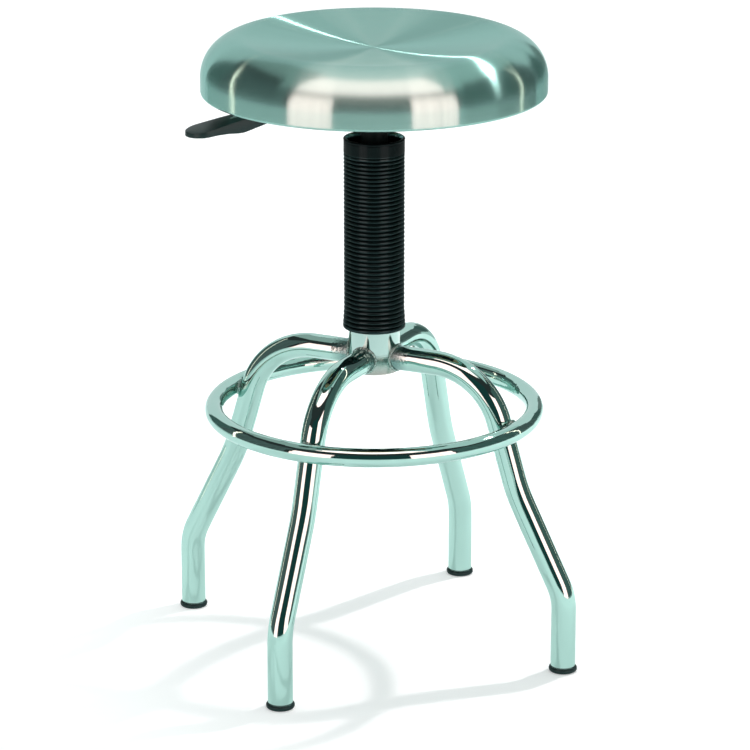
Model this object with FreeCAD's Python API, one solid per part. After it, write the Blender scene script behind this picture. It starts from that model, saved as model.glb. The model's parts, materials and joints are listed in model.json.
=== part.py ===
import FreeCAD, Part
import math
import os

# Work stool: a dished steel seat on a gas-lift column, with four bent tube legs and a foot ring.
# Lengths are in millimetres and angles in degrees. Z points up.
# The origin is on the floor, on the axis of the column. The seat is at the top of its stroke.

# Legs, each a bent tube in its own upright plane, given by the corners of its centreline
leg_count = 4
leg_names = ("right", "rear", "left", "front")
leg_diameter = 25.4
leg_wall = 1.5
shoulder_height = 311.0
shoulder_reach = 125.0
knee_height = 186.0
knee_reach = 162.2
ankle_height = 80.8
foot_reach = 215.5
shoulder_bend = 75.0
knee_bend = 180.0
ankle_bend = 60.0

# Foot caps
cap_diameter = 29.0
cap_base = 3.0
cap_collar = 4.0
cap_plug_length = 20.0
cap_edge = 1.0
cap_fit = 0.1

# Foot ring, welded against the outside of the legs
ring_diameter = 19.0
ring_wall = 1.5
ring_height = 254.0
drain_hole = 4.0

# Welds reach this far from the surfaces that they join
hub_weld = 3.0
ring_weld = 2.2

# Hub, and the stand tube of the gas lift that wedges in its taper
column_diameter = 50.0
column_wall = 1.5
column_length = 154.0
column_taper_length = 40.0
column_taper = 1.0
column_recess = 4.0
hub_wall = 1.5
hub_height = 58.0
hub_below = 15.0
hub_edge = 0.8

# Turning seat of the piston rod, at the foot of the stand tube
end_plate_thickness = 4.0
race_thickness = 2.0
race_diameter = 36.0
race_play = 0.2
ball_diameter = 4.0
ball_play = 0.05
ball_circle = 26.0
ball_count = 12
cage_thickness = 1.2
cage_width = 7.0
bumper_height = 9.9
bumper_diameter = 30.0
clip_thickness = 1.5
clip_diameter = 16.0
clip_play = 0.1
clip_opening = 5.0

# Piston rod and piston
rod_diameter = 10.0
rod_stub_diameter = 8.0
rod_stub_end = 1.2
running_play = 0.05
piston_height = 10.0
piston_lift = 6.0
piston_groove_height = 3.0
piston_groove_depth = 1.8
piston_play = 0.4
rod_head_height = 2.0
rod_head_diameter = 14.0

# Pressure tube, which slides in the guide bush of the stand tube
stroke = 80.0
end_clearance = 3.0
tube_diameter = 28.0
tube_wall = 1.5
tube_length = 187.0
tube_taper = 1.1
tube_curl = 2.0
tube_curl_play = 0.3
guide_height = 10.0
seal_height = 7.0
cylinder_wall = 1.0
cylinder_play = 1.5
cylinder_end = 5.0
bush_length = 50.0
bush_flange = 2.0

# Release pin in the valve at the head of the pressure tube
pin_diameter = 5.0
pin_length = 42.0
pin_stand = 5.0
pin_travel = 3.0
pin_pocket = 2.0
valve_recess = 2.0

# Taper socket, mounting plate and their fasteners
socket_diameter = 36.0
socket_length = 64.0
taper_length = 45.0
socket_slot = 12.0
plate_width = 160.0
plate_thickness = 4.0
plate_corner = 14.0
plate_rib_height = 5.0
plate_rib_width = 6.0
plate_rib_length = 120.0
bolt_spacing = 110.0
bolt_diameter = 6.0
bolt_length = 18.0
bolt_play = 0.3
thread_play = 0.05
head_across_flats = 10.0
head_height = 4.0
washer_diameter = 12.0
washer_thickness = 1.6
nut_flange_diameter = 19.0
nut_flange_thickness = 1.5
nut_barrel_diameter = 7.8
nut_barrel_length = 9.0
nut_depth = 12.5
nut_play = 0.1

# Release lever, pointing between the left and front legs
lever_azimuth = 225.0
lever_diameter = 9.0
lever_gap = 0.4
lever_tail = 3.0
lever_pivot_reach = 42.0
lever_bend_reach = 52.0
lever_bend = 30.0
lever_slope = 19.3
lever_end_reach = 150.0
eye_diameter = 13.0
pivot_diameter = 5.0
ear_thickness = 3.0
ear_play = 0.3
ear_width = 12.0
bracket_base = 2.0
pivot_head_diameter = 8.0
pivot_head_height = 1.5

# Paddle on the lever: its outline from above, and the shares that shape it from the side
paddle_start = 103.0
paddle_length = 100.0
paddle_root_width = 21.0
paddle_tip_width = 36.0
paddle_drop = 40.0
paddle_round = 1.6
paddle_top_shares = ((0.0, 0.385), (0.37, 0.685), (0.62, 0.815), (1.0, 1.01))
paddle_under_shares = ((1.0, 1.2), (0.87, 1.17), (0.69, 1.115), (0.36, 1.095))
paddle_neck_shares = ((0.0, 0.76),)

# Bellows round the column
bellows_cuff = 13.0
bellows_gap = 8.0
bellows_play = 0.3
bellows_wall = 1.8
rib_depth = 2.9
rib_count = 41
rib_growth_share = 0.1
rib_shares = ((0.1, 0.0), (0.35, 1.0), (0.65, 1.0), (0.9, 0.0))
top_band = 3.5
bottom_band = 9.0
bottom_flare = 0.5
band_shares = ((0.0, 0.6), (0.15, 1.0), (0.5, 0.95), (0.62, 0.25), (0.74, 0.25), (0.84, 1.0), (0.95, 0.9))

# Seat: a spun steel shell bonded to a dished plywood board
seat_diameter = 350.0
seat_depth = 56.0
seat_crown = 40.0
dish_depth = 11.0
shell_wall = 1.2
lip_radius = 9.0
lip_turn = 60.0
glue_gap = 0.3
board_thickness = 16.5
board_inset = 10.0
board_edge = 3.0

# Cuts run past what they cut by this much
overrun = 1.0

# Heights of the chain of pieces, from the floor to the seat
hub_bottom = shoulder_height - hub_below
hub_top = hub_bottom + hub_height
column_bottom = hub_bottom + column_recess
column_top = column_bottom + column_length
plate_top_of_column = column_bottom + end_plate_thickness
ball_floor = plate_top_of_column + race_thickness
ball_middle = ball_floor + ball_play + ball_diameter / 2
upper_race_bottom = ball_floor + ball_diameter + 2 * ball_play
upper_race_top = upper_race_bottom + race_thickness
bumper_top = upper_race_top + bumper_height
tube_bottom = bumper_top + end_clearance + stroke
tube_top = tube_bottom + tube_length
guide_bottom = tube_bottom + tube_curl
seal_bottom = guide_bottom + guide_height
cylinder_bottom = seal_bottom + seal_height
piston_bottom = cylinder_bottom + piston_lift
piston_top = piston_bottom + piston_height
cylinder_top = piston_top + rod_head_height + stroke + cylinder_end
socket_bottom = tube_top - taper_length
pin_top = tube_top + pin_stand
lever_height = pin_top + lever_gap + lever_diameter / 2
plate_bottom = socket_bottom + socket_length
board_bottom = plate_bottom + plate_thickness
dish_bottom = board_bottom + board_thickness + glue_gap + shell_wall
seat_top = dish_bottom + dish_depth
bellows_bottom = hub_top - bellows_cuff
bellows_top = socket_bottom - bellows_gap

# Radii that follow from the named sizes
column_radius = column_diameter / 2
hub_radius = column_radius + hub_wall
leg_radius = leg_diameter / 2
tube_radius = tube_diameter / 2
tube_bore = tube_radius - tube_wall
cylinder_bore = tube_bore - cylinder_play - cylinder_wall
rod_radius = rod_diameter / 2
stub_radius = rod_stub_diameter / 2
taper_end_radius = tube_radius - tube_taper

up = FreeCAD.Vector(0, 0, 1)
centre = FreeCAD.Vector(0, 0, 0)


def point(reach, height):
    """Return a point of the upright plane that holds +X."""
    return FreeCAD.Vector(reach, 0, height)


def turned(outline):
    """Turn a closed outline of (radius, height) points about the column's axis."""
    points = [point(reach, height) for reach, height in outline]
    face = Part.Face(Part.makePolygon(points + points[:1]))
    return face.revolve(centre, up, 360)


def rod(radius, bottom, top):
    """Return an upright round bar on the column's axis."""
    return Part.makeCylinder(radius, top - bottom, point(0, bottom))


def tube(inner, outer, bottom, top):
    """Return an upright tube on the column's axis."""
    return rod(outer, bottom, top).cut(rod(inner, bottom - overrun, top + overrun))


def spread(shape, count):
    """Return copies of a shape, evenly turned about the column's axis."""
    copies = []
    for index in range(count):
        copy = shape.copy()
        copy.rotate(centre, up, index * 360 / count)
        copies.append(copy)
    return copies


def bent_path(corners, bends):
    """Join corners in the XZ plane by straight runs with tangent arcs."""
    edges = []
    start = point(*corners[0])
    for index, bend in enumerate(bends):
        corner = point(*corners[index + 1])
        back = (point(*corners[index]) - corner).normalize()
        ahead = (point(*corners[index + 2]) - corner).normalize()
        half_angle = back.getAngle(ahead) / 2
        length = bend / math.tan(half_angle)
        middle = (back + ahead).normalize()
        enter = corner + back * length
        leave = corner + ahead * length
        crown = corner + middle * (bend / math.sin(half_angle) - bend)
        edges.append(Part.LineSegment(start, enter).toShape())
        edges.append(Part.Arc(enter, crown, leave).toShape())
        start = leave
    edges.append(Part.LineSegment(start, point(*corners[-1])).toShape())
    return Part.Wire(edges)


def swept(path, radius):
    """Sweep a round section of one radius along a path."""
    first = path.OrderedEdges[0]
    direction = first.tangentAt(first.FirstParameter)
    begin = first.valueAt(first.FirstParameter)
    section = Part.Wire(Part.makeCircle(radius, begin, direction))
    return path.makePipeShell([section], True, False)


def leg_corners(end):
    """Return the corners of a leg's centreline, from inside the hub down to a height."""
    return (
        (0, shoulder_height),
        (shoulder_reach, shoulder_height),
        (knee_reach, knee_height),
        (foot_reach, ankle_height),
        (foot_reach, end),
    )


def leg_bar(radius, end):
    """Return a solid bar along a leg."""
    return swept(bent_path(leg_corners(end), (shoulder_bend, knee_bend, ankle_bend)), radius)


def make_leg():
    """One leg: a bent tube whose upper end is cut to fit the hub."""
    leg = leg_bar(leg_radius, cap_base)
    leg = leg.cut(leg_bar(leg_radius - leg_wall, 0))
    return leg.cut(rod(hub_radius, 0, hub_top))


def make_foot_cap():
    """One foot cap: a base, a collar round the tube and a plug inside it."""
    radius = cap_diameter / 2
    bore = leg_radius + cap_fit
    plug = leg_radius - leg_wall - cap_fit
    cap_top = cap_base + cap_collar
    plug_top = cap_base + cap_plug_length
    outline = (
        (0, 0),
        (radius - cap_edge, 0),
        (radius, cap_edge),
        (radius, cap_top - cap_edge),
        (radius - cap_edge, cap_top),
        (bore, cap_top),
        (bore, cap_base),
        (plug, cap_base),
        (plug, plug_top - cap_edge),
        (plug - cap_edge, plug_top),
        (0, plug_top),
    )
    cap = turned(outline)
    cap.translate(point(foot_reach, 0))
    return cap


def ring_slope():
    """Return the angle from upright of the leg where the ring is welded to it."""
    return math.atan2(knee_reach - shoulder_reach, shoulder_height - knee_height)


def ring_reach():
    """Return the radius of the ring's centreline, which touches the outside of the legs."""
    slope = ring_slope()
    leg_reach = shoulder_reach + (shoulder_height - ring_height) * math.tan(slope)
    return leg_reach + (leg_radius + ring_diameter / 2) / math.cos(slope)


def ring_bar(radius):
    """Return a solid ring of one section radius."""
    return Part.makeTorus(ring_reach(), radius, point(0, ring_height), up)


def make_foot_ring():
    """The foot ring: a closed tube with a drain hole on its underside."""
    ring = ring_bar(ring_diameter / 2).cut(ring_bar(ring_diameter / 2 - ring_wall))
    hole = Part.makeCylinder(drain_hole / 2, ring_diameter / 2, point(ring_reach(), ring_height), -up)
    hole.rotate(centre, up, 180 / leg_count)
    return ring.cut(hole)


def make_ring_welds():
    """Four fillets where the ring meets the legs."""
    leg_zone = leg_bar(leg_radius + ring_weld, cap_base)
    bead = leg_zone.common(ring_bar(ring_diameter / 2 + ring_weld))
    bead = bead.cut(ring_bar(ring_diameter / 2))
    bead = bead.cut(leg_bar(leg_radius, 0))
    return Part.makeCompound(spread(bead, leg_count))


def make_hub_tube():
    """The hub: a tube with a tapered bore that the stand tube wedges in."""
    taper_top = column_bottom + column_taper_length
    outline = (
        (column_radius - column_taper, hub_bottom),
        (hub_radius - hub_edge, hub_bottom),
        (hub_radius, hub_bottom + hub_edge),
        (hub_radius, hub_top - hub_edge),
        (hub_radius - hub_edge, hub_top),
        (column_radius, hub_top),
        (column_radius, taper_top),
        (column_radius - column_taper, column_bottom),
    )
    return turned(outline)


def make_hub_welds():
    """Four saddle-shaped fillets where the legs meet the hub."""
    leg_zone = leg_bar(leg_radius + hub_weld, cap_base)
    bead = leg_zone.common(rod(hub_radius + hub_weld, hub_bottom, hub_top))
    bead = bead.cut(leg_bar(leg_radius, 0))
    bead = bead.cut(rod(hub_radius, 0, hub_top + overrun))
    return Part.makeCompound(spread(bead, leg_count))


def make_column_tube():
    """The stand tube of the gas lift, tapered at its foot."""
    taper_top = column_bottom + column_taper_length
    foot = column_radius - column_taper
    outline = (
        (foot - column_wall, column_bottom),
        (foot, column_bottom),
        (column_radius, taper_top),
        (column_radius, column_top),
        (column_radius - column_wall, column_top),
        (column_radius - column_wall, taper_top),
    )
    return turned(outline)


def make_column_end_plate():
    """The plate that closes the foot of the stand tube."""
    taper_rise = column_taper * end_plate_thickness / column_taper_length
    foot = column_radius - column_taper - column_wall
    bore = stub_radius + running_play
    outline = (
        (bore, column_bottom),
        (foot, column_bottom),
        (foot + taper_rise, plate_top_of_column),
        (bore, plate_top_of_column),
    )
    return turned(outline)


def make_guide_bush():
    """The plastic bush that guides the pressure tube, with a flange on the tube's end."""
    bore = tube_radius + running_play
    fit = column_radius - column_wall
    outline = (
        (bore, column_top - bush_length),
        (fit, column_top - bush_length),
        (fit, column_top),
        (column_radius, column_top),
        (column_radius, column_top + bush_flange),
        (bore, column_top + bush_flange),
    )
    return turned(outline)


def make_lower_race():
    """The lower washer of the thrust bearing, which lies on the end plate."""
    return tube(rod_radius + race_play, race_diameter / 2, plate_top_of_column, ball_floor)


def make_upper_race():
    """The upper washer of the thrust bearing, under the shoulder of the rod."""
    return tube(stub_radius, race_diameter / 2, upper_race_bottom, upper_race_top)


def make_balls(radius):
    """Return one ball for each pocket of the bearing."""
    ball = Part.makeSphere(radius, point(ball_circle / 2, ball_middle))
    return spread(ball, ball_count)


def make_ball_cage():
    """The ring that keeps the balls apart."""
    inner = (ball_circle - cage_width) / 2
    outer = (ball_circle + cage_width) / 2
    cage = tube(inner, outer, ball_middle - cage_thickness / 2, ball_middle + cage_thickness / 2)
    for ball in make_balls(ball_diameter / 2 + ball_play):
        cage = cage.cut(ball)
    return cage


def make_bearing_balls():
    """The balls of the thrust bearing."""
    return Part.makeCompound(make_balls(ball_diameter / 2))


def make_bumper():
    """The rubber ring that the pressure tube meets at the bottom of its stroke."""
    return tube(rod_radius + running_play, bumper_diameter / 2, upper_race_top, bumper_top)


def make_retaining_clip():
    """The spring clip that holds the rod under the end plate."""
    top = column_bottom - clip_play
    bottom = top - clip_thickness
    clip = tube(stub_radius, clip_diameter / 2, bottom, top)
    gap = Part.makeBox(clip_diameter, clip_opening, clip_thickness + 2 * overrun)
    gap.translate(FreeCAD.Vector(0, -clip_opening / 2, bottom - overrun))
    return clip.cut(gap)


def make_piston_rod():
    """The piston rod, with a stepped foot and a riveted head over the piston."""
    stub_bottom = column_bottom - clip_play - clip_thickness - rod_stub_end
    head_radius = rod_head_diameter / 2
    outline = (
        (0, stub_bottom),
        (stub_radius, stub_bottom),
        (stub_radius, upper_race_top),
        (rod_radius, upper_race_top),
        (rod_radius, piston_top),
        (head_radius, piston_top),
        (head_radius, piston_top + rod_head_height),
        (0, piston_top + rod_head_height),
    )
    return turned(outline)


def make_piston():
    """The piston, grooved for its seal."""
    outer = cylinder_bore - piston_play
    groove = outer - piston_groove_depth
    middle = (piston_bottom + piston_top) / 2
    outline = (
        (rod_radius, piston_bottom),
        (outer, piston_bottom),
        (outer, middle - piston_groove_height / 2),
        (groove, middle - piston_groove_height / 2),
        (groove, middle + piston_groove_height / 2),
        (outer, middle + piston_groove_height / 2),
        (outer, piston_top),
        (rod_radius, piston_top),
    )
    return turned(outline)


def make_piston_seal():
    """The ring that seals the piston in the inner cylinder."""
    middle = (piston_bottom + piston_top) / 2
    inner = cylinder_bore - piston_play - piston_groove_depth
    bottom = middle - piston_groove_height / 2
    return tube(inner, cylinder_bore - running_play, bottom, bottom + piston_groove_height)


def make_pressure_tube():
    """The pressure tube, tapered at its head and curled in at its foot."""
    outline = (
        (rod_radius + tube_curl_play, tube_bottom),
        (tube_radius, tube_bottom),
        (tube_radius, socket_bottom),
        (taper_end_radius, tube_top),
        (taper_end_radius - tube_wall, tube_top),
        (tube_bore, socket_bottom),
        (tube_bore, guide_bottom),
        (rod_radius + tube_curl_play, guide_bottom),
    )
    return turned(outline)


def make_rod_guide():
    """The bush that guides the rod at the foot of the pressure tube."""
    return tube(rod_radius + running_play, tube_bore, guide_bottom, seal_bottom)


def make_rod_seal():
    """The seal round the rod, above its guide."""
    return tube(rod_radius + running_play, tube_bore, seal_bottom, cylinder_bottom)


def make_inner_cylinder():
    """The cylinder that the piston runs in, inside the pressure tube."""
    return tube(cylinder_bore, cylinder_bore + cylinder_wall, cylinder_bottom, cylinder_top)


def make_valve_body():
    """The valve body that closes the head of the pressure tube, bored for the release pin."""
    bore = pin_diameter / 2 + running_play
    valve_top = tube_top - valve_recess
    pocket = pin_top - pin_length - pin_travel - pin_pocket
    rise = (valve_top - socket_bottom) / taper_length
    outline = (
        (0, cylinder_top),
        (tube_bore, cylinder_top),
        (tube_bore, socket_bottom),
        (tube_bore - tube_taper * rise, valve_top),
        (bore, valve_top),
        (bore, pocket),
        (0, pocket),
    )
    return turned(outline)


def make_release_pin():
    """The pin that opens the valve when the lever presses it."""
    return rod(pin_diameter / 2, pin_top - pin_length, pin_top)


def lever_turn(shape):
    """Turn a shape that was made along +X to the lever's own direction."""
    shape.rotate(centre, up, lever_azimuth)
    return shape


def make_taper_socket():
    """The socket that wedges on the pressure tube, slotted for the lever."""
    outer = socket_diameter / 2
    outline = (
        (tube_radius, socket_bottom),
        (outer, socket_bottom),
        (outer, plate_bottom),
        (taper_end_radius, plate_bottom),
        (taper_end_radius, tube_top),
    )
    slot = Part.makeBox(socket_diameter, socket_slot, plate_bottom - tube_top)
    slot.translate(FreeCAD.Vector(0, -socket_slot / 2, tube_top))
    return turned(outline).cut(lever_turn(slot))


def bolt_places(height):
    """Return the places of the four seat bolts at one height."""
    half = bolt_spacing / 2
    return [FreeCAD.Vector(x, y, height) for x in (-half, half) for y in (-half, half)]


def make_mounting_plate():
    """The plate under the seat board, with two folded ribs and four bolt holes."""
    half = plate_width / 2
    plate = Part.makeBox(plate_width, plate_width, plate_thickness)
    plate.translate(FreeCAD.Vector(-half, -half, plate_bottom))
    corners = [edge for edge in plate.Edges if edge.BoundBox.ZLength > plate_thickness / 2]
    plate = plate.makeFillet(plate_corner, corners)
    for side in (-half, half - plate_rib_width):
        rib = Part.makeBox(plate_rib_length, plate_rib_width, plate_rib_height)
        rib.translate(FreeCAD.Vector(-plate_rib_length / 2, side, plate_bottom - plate_rib_height))
        plate = plate.fuse(rib)
    for place in bolt_places(plate_bottom - overrun):
        depth = plate_thickness + 2 * overrun
        plate = plate.cut(Part.makeCylinder(bolt_diameter / 2 + bolt_play, depth, place))
    return plate.removeSplitter()


def make_seat_bolts():
    """Four hexagon bolts that hold the plate under the board."""
    head_top = plate_bottom - washer_thickness
    corner = head_across_flats / math.sqrt(3)
    bolts = []
    for place in bolt_places(head_top):
        shank = Part.makeCylinder(bolt_diameter / 2, bolt_length, place)
        turns = [math.radians(60 * index) for index in range(7)]
        rim = [place + FreeCAD.Vector(math.cos(turn), math.sin(turn), 0) * corner for turn in turns]
        head = Part.Face(Part.makePolygon(rim)).extrude(-up * head_height)
        bolts.append(shank.fuse(head))
    return Part.makeCompound(bolts)


def make_seat_washers():
    """Four washers under the heads of the bolts."""
    washers = []
    for place in bolt_places(plate_bottom - washer_thickness):
        disc = Part.makeCylinder(washer_diameter / 2, washer_thickness, place)
        washers.append(disc.cut(Part.makeCylinder(bolt_diameter / 2 + bolt_play, washer_thickness, place)))
    return Part.makeCompound(washers)


def make_tee_nuts():
    """Four flanged nuts let into the top of the seat board."""
    flange_bottom = board_bottom + nut_depth
    nuts = []
    for place in bolt_places(flange_bottom):
        flange = Part.makeCylinder(nut_flange_diameter / 2, nut_flange_thickness, place)
        foot = place - up * nut_barrel_length
        barrel = Part.makeCylinder(nut_barrel_diameter / 2, nut_barrel_length, foot)
        depth = nut_barrel_length + nut_flange_thickness
        thread = Part.makeCylinder(bolt_diameter / 2 + thread_play, depth, foot)
        nuts.append(flange.fuse(barrel).cut(thread))
    return Part.makeCompound(nuts)


def lever_axis(start):
    """Return the centreline of the lever, from a start on its inner side to its outer end."""
    run = lever_end_reach - lever_bend_reach
    corners = (
        (start, lever_height),
        (lever_bend_reach, lever_height),
        (lever_end_reach, lever_height - run * math.tan(math.radians(lever_slope))),
    )
    return bent_path(corners, (lever_bend,))


def across(diameter, length):
    """Return a bar along the lever's pivot, centred on the lever."""
    start = FreeCAD.Vector(lever_pivot_reach, -length / 2, lever_height)
    return Part.makeCylinder(diameter / 2, length, start, FreeCAD.Vector(0, 1, 0))


def make_lever_rod():
    """The cranked lever, with an eye for its pivot pin."""
    lever = swept(lever_axis(-lever_tail), lever_diameter / 2)
    lever = lever.fuse(across(eye_diameter, lever_diameter))
    bore = across(pivot_diameter + 2 * running_play, lever_diameter + 2 * overrun)
    return lever_turn(lever.cut(bore).removeSplitter())


def make_lever_bracket():
    """The bracket under the plate, whose two ears hold the pivot pin."""
    inner = lever_diameter / 2 + ear_play
    outer = inner + ear_thickness
    left = lever_pivot_reach - ear_width / 2
    ears = across(ear_width, 2 * outer)
    body = Part.makeBox(ear_width, 2 * outer, plate_bottom - lever_height)
    body.translate(FreeCAD.Vector(left, -outer, lever_height))
    throat = Part.makeBox(eye_diameter + ear_width, 2 * inner, plate_bottom - lever_height + ear_width)
    throat_left = lever_pivot_reach - (eye_diameter + ear_width) / 2
    throat.translate(FreeCAD.Vector(throat_left, -inner, lever_height - ear_width - bracket_base))
    bracket = ears.fuse(body).cut(throat).cut(across(pivot_diameter, 2 * outer))
    return lever_turn(bracket.removeSplitter())


def make_lever_pin():
    """The pin that the lever turns on, headed at both ends."""
    length = lever_diameter + 2 * ear_play + 2 * ear_thickness
    pin = across(pivot_diameter, length + 2 * pivot_head_height)
    for side in (-1, 1):
        place = FreeCAD.Vector(lever_pivot_reach, side * length / 2, lever_height)
        outward = FreeCAD.Vector(0, side, 0)
        pin = pin.fuse(Part.makeCylinder(pivot_head_diameter / 2, pivot_head_height, place, outward))
    return lever_turn(pin.removeSplitter())


def paddle_plan():
    """Return the paddle's outline from above: a straight taper into a round tip."""
    tip = paddle_tip_width / 2
    root = paddle_root_width / 2
    nose = paddle_length - tip
    far = math.hypot(nose, root)
    turn = math.atan2(root, -nose) - math.acos(tip / far)
    touch = (nose + tip * math.cos(turn), tip * math.sin(turn))
    floor = lever_height - 2 * paddle_drop
    ends = [FreeCAD.Vector(paddle_start + x, y, floor) for x, y in ((0, root), touch)]
    mirror = [FreeCAD.Vector(corner.x, -corner.y, corner.z) for corner in ends]
    front = FreeCAD.Vector(paddle_start + paddle_length, 0, floor)
    edges = (
        Part.LineSegment(mirror[0], ends[0]).toShape(),
        Part.LineSegment(ends[0], ends[1]).toShape(),
        Part.Arc(ends[1], front, mirror[1]).toShape(),
        Part.LineSegment(mirror[1], mirror[0]).toShape(),
    )
    return Part.Face(Part.Wire(edges)).extrude(up * 2 * paddle_drop)


def paddle_points(shares):
    """Return points of the paddle's side outline from shares of its length and drop."""
    points = []
    for along, down in shares:
        reach = paddle_start + along * paddle_length
        points.append(FreeCAD.Vector(reach, -paddle_tip_width, lever_height - down * paddle_drop))
    return points


def paddle_side():
    """Return the paddle's outline from the side: curved above and below, straight at the neck."""
    top_points = paddle_points(paddle_top_shares)
    under_points = paddle_points(paddle_under_shares)
    neck = paddle_points(paddle_neck_shares)[0]
    top = Part.BSplineCurve()
    top.interpolate(top_points)
    under = Part.BSplineCurve()
    under.interpolate(under_points)
    edges = (
        top.toShape(),
        Part.LineSegment(top_points[-1], under_points[0]).toShape(),
        under.toShape(),
        Part.LineSegment(under_points[-1], neck).toShape(),
        Part.LineSegment(neck, top_points[0]).toShape(),
    )
    return Part.Face(Part.Wire(edges)).extrude(FreeCAD.Vector(0, 2 * paddle_tip_width, 0))


def make_lever_paddle():
    """The moulded paddle, rounded at its rims and bored for the end of the lever."""
    paddle = paddle_plan().common(paddle_side()).removeSplitter()
    rims = [edge for edge in paddle.Edges if edge.BoundBox.XLength > paddle_round]
    paddle = paddle.makeFillet(paddle_round, rims)
    paddle = paddle.cut(swept(lever_axis(lever_pivot_reach), lever_diameter / 2))
    return lever_turn(paddle)


def circle_wire(radius, height):
    """Return a level circle on the column's axis, starting on +X."""
    return Part.Wire(Part.makeCircle(radius, point(0, height), up))


def make_bellows():
    """The bellows: a ribbed sleeve, open at both ends, with a flared foot."""
    bore = hub_radius + bellows_play
    valley = bore + bellows_wall
    rings = []
    for along, out in band_shares:
        depth = (rib_depth + bottom_flare) * out
        rings.append((valley + depth, bellows_bottom + bottom_band * along))
    length = bellows_top - top_band - bellows_bottom - bottom_band
    even_pitch = length / rib_count
    height = bellows_bottom + bottom_band
    for index in range(rib_count):
        place = 1 - 2 * index / (rib_count - 1)
        pitch = even_pitch * (1 + rib_growth_share * place)
        rings += [(valley + rib_depth * out, height + pitch * along) for along, out in rib_shares]
        height += pitch
    rings += [(valley + rib_depth, bellows_top - top_band), (valley + rib_depth, bellows_top)]
    sleeve = Part.makeLoft([circle_wire(radius, level) for radius, level in rings], True, True)
    return sleeve.cut(rod(bore, bellows_bottom - overrun, bellows_top + overrun))


def dish_circle():
    """Return the radius of the dish and the height of its centre, which lies above the seat."""
    crown_reach = seat_diameter / 2 - seat_crown
    crown_drop = seat_crown - dish_depth
    radius = (crown_reach ** 2 + crown_drop ** 2 - seat_crown ** 2) / (2 * (seat_crown - crown_drop))
    return radius, dish_bottom + radius


def arc_point(middle, radius, angle):
    """Return the point of a circle in the XZ plane at an angle from +X."""
    turn = math.radians(angle)
    return middle + point(math.cos(turn), math.sin(turn)) * radius


def seat_line(depth):
    """Return the edges of the seat's section at a depth under its outer surface."""
    dish_radius, dish_centre = dish_circle()
    side = seat_diameter / 2 - depth
    crown = point(seat_diameter / 2 - seat_crown, seat_top - seat_crown)
    lip_drop = lip_radius * math.sin(math.radians(lip_turn))
    lip = point(seat_diameter / 2 - lip_radius, seat_top - seat_depth + lip_drop)
    lean = math.degrees(math.atan2(crown.x, dish_centre - crown.z))
    dish_middle = point(0, dish_centre)
    dish_size = dish_radius + depth
    crown_size = seat_crown - depth
    lip_size = lip_radius - depth
    pole = point(0, dish_centre - dish_size)
    inside = arc_point(dish_middle, dish_size, lean / 2 - 90)
    join = arc_point(dish_middle, dish_size, lean - 90)
    crest = arc_point(crown, crown_size, (90 + lean) / 2)
    side_top = point(side, crown.z)
    side_foot = point(side, lip.z)
    turn = arc_point(lip, lip_size, -lip_turn / 2)
    end = arc_point(lip, lip_size, -lip_turn)
    edges = [
        Part.Arc(pole, inside, join).toShape(),
        Part.Arc(join, crest, side_top).toShape(),
        Part.LineSegment(side_top, side_foot).toShape(),
        Part.Arc(side_foot, turn, end).toShape(),
    ]
    return edges, pole, end


def make_seat_shell():
    """The spun seat shell, dished on top, with its lower edge turned in."""
    outer, outer_pole, outer_end = seat_line(0)
    inner, inner_pole, inner_end = seat_line(shell_wall)
    ends = [
        Part.LineSegment(outer_end, inner_end).toShape(),
        Part.LineSegment(outer_pole, inner_pole).toShape(),
    ]
    wire = Part.Wire(Part.__sortEdges__(outer + inner + ends))
    return Part.Face(wire).revolve(centre, up, 360)


def make_seat_board():
    """The plywood board, dished to follow the shell and drilled for the tee nuts."""
    dish_radius, dish_centre = dish_circle()
    size = dish_radius + shell_wall + glue_gap
    radius = seat_diameter / 2 - seat_crown - board_inset
    lean = math.degrees(math.asin(radius / size))
    middle = point(0, dish_centre)
    rim = arc_point(middle, size, lean - 90)
    pole = point(0, dish_centre - size)
    dish = Part.Arc(pole, arc_point(middle, size, lean / 2 - 90), rim).toShape()
    corners = [
        rim,
        point(radius, board_bottom + board_edge),
        point(radius - board_edge, board_bottom),
        point(0, board_bottom),
        pole,
    ]
    edges = [Part.LineSegment(*pair).toShape() for pair in zip(corners, corners[1:])]
    board = Part.Face(Part.Wire([dish] + edges)).revolve(centre, up, 360)
    flange_bottom = board_bottom + nut_depth
    for place in bolt_places(flange_bottom):
        recess = nut_flange_diameter / 2 + nut_play
        board = board.cut(Part.makeCylinder(recess, seat_top - flange_bottom, place))
    for place in bolt_places(board_bottom - overrun):
        depth = nut_depth + 2 * overrun
        board = board.cut(Part.makeCylinder(nut_barrel_diameter / 2 + nut_play, depth, place))
    return board


def save(name, shape):
    """Write one named piece."""
    print(name, round(shape.Volume), len(shape.Solids), shape.isValid())
    shape.exportStep("parts/" + name + ".step")


os.makedirs("parts", exist_ok=True)

for leg_name, leg_shape in zip(leg_names, spread(make_leg(), leg_count)):
    save(leg_name + "_leg", leg_shape)
for leg_name, cap_shape in zip(leg_names, spread(make_foot_cap(), leg_count)):
    save(leg_name + "_foot_cap", cap_shape)
save("foot_ring", make_foot_ring())
save("ring_welds", make_ring_welds())
save("hub_tube", make_hub_tube())
save("hub_welds", make_hub_welds())
save("column_tube", make_column_tube())
save("column_end_plate", make_column_end_plate())
save("guide_bush", make_guide_bush())
save("lower_race", make_lower_race())
save("ball_cage", make_ball_cage())
save("bearing_balls", make_bearing_balls())
save("upper_race", make_upper_race())
save("bumper", make_bumper())
save("retaining_clip", make_retaining_clip())
save("piston_rod", make_piston_rod())
save("piston", make_piston())
save("piston_seal", make_piston_seal())
save("pressure_tube", make_pressure_tube())
save("rod_guide", make_rod_guide())
save("rod_seal", make_rod_seal())
save("inner_cylinder", make_inner_cylinder())
save("valve_body", make_valve_body())
save("release_pin", make_release_pin())
save("taper_socket", make_taper_socket())
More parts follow.
